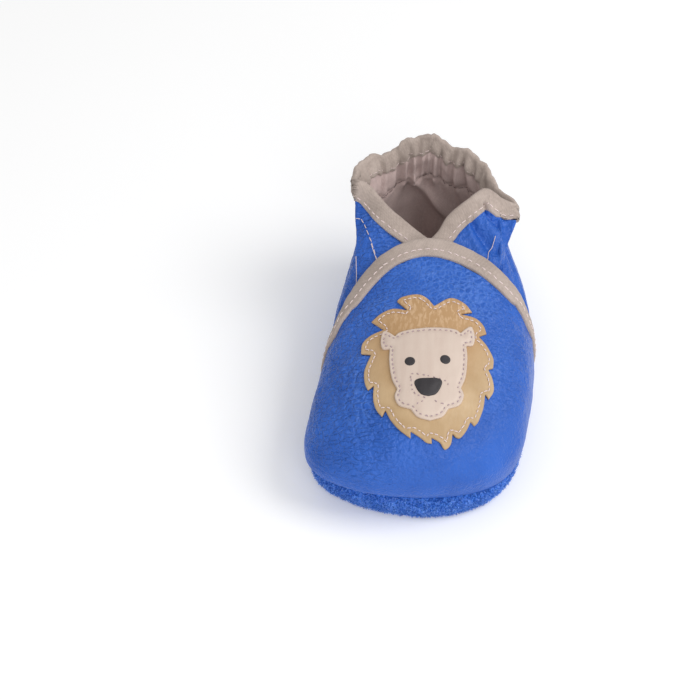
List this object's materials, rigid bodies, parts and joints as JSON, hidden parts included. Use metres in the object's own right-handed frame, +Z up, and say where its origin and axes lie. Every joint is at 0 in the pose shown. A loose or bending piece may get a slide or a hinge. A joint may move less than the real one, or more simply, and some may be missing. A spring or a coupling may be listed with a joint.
{
  "type": "baby bootie",
  "caption": "Soft-soled leather baby bootie with a gathered elastic collar, bound edges and a lion's face sewn on the vamp.",
  "frame": {"origin": "on the floor under the middle of the bootie's bounding box", "axes": "+Z up, -Y towards the toe, +Y towards the heel, -X on the big toe's side"},
  "size_m": [0.0754, 0.13, 0.0621],
  "materials": {
    "suede": "napped split suede, dyed bright blue, fibrous edge",
    "leather": "soft pebble-grained leather, satin",
    "foam": "thin open-cell foam",
    "lining": "fine cotton weave, matte",
    "tape": "twill tape, matte",
    "elastic": "flat woven elastic",
    "mane_leather": "bronze leather with a faint metallic sheen",
    "face_leather": "smooth pale leather",
    "black_leather": "smooth near-black leather",
    "thread": "polyester sewing thread"
  },
  "bodies": {
    "root": {"outsole": "suede", "insole_foam": "foam", "insole_cover": "lining", "vamp_leather": "leather", "vamp_lining": "lining", "vamp_binding": "tape", "heel_leather": "leather", "heel_lining": "lining", "collar_binding": "tape", "collar_elastic": "elastic", "mane_applique": "mane_leather", "face_applique": "face_leather", "eye_left": "black_leather", "eye_right": "black_leather", "nose": "black_leather", "mane_stitching": "thread", "face_stitching": "thread", "vamp_binding_stitching": "thread", "collar_binding_stitching": "thread", "casing_stitching": "thread", "sole_seam_stitching": "thread"}
  },
  "joints": []
}
